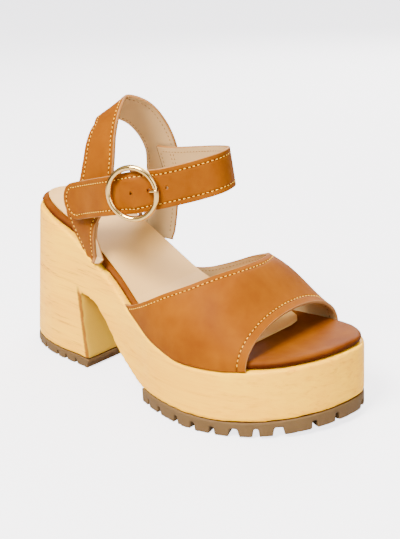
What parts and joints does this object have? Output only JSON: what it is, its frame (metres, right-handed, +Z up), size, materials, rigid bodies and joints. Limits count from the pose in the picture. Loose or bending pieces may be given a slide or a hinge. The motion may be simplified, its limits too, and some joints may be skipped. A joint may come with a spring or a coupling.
{
  "type": "platform sandal",
  "caption": "Open-toe platform sandal for the right foot: wooden clog sole with block heel, rubber lug treads, wide leather vamp, heel sling and buckled ankle strap.",
  "frame": {"origin": "bottom centre of the object's box, on the floor the sandal stands on", "axes": "+X towards the toe, +Y towards the inner side of the right foot, +Z up"},
  "size_m": [0.2524, 0.097, 0.1724],
  "materials": {
    "wood": "satin",
    "rubber": "matte",
    "footbed_leather": "satin",
    "sock_leather": "matte",
    "upper_leather": "satin",
    "buckle_metal": "polished"
  },
  "bodies": {
    "root": {"platform_sole": "wood", "forefoot_outsole": "rubber", "heel_outsole": "rubber", "footbed": "footbed_leather", "sock_lining": "sock_leather", "vamp": "upper_leather", "ankle_straps": "upper_leather", "buckle_tab": "upper_leather", "buckle_frame": "buckle_metal", "buckle_prong": "buckle_metal"}
  },
  "joints": []
}
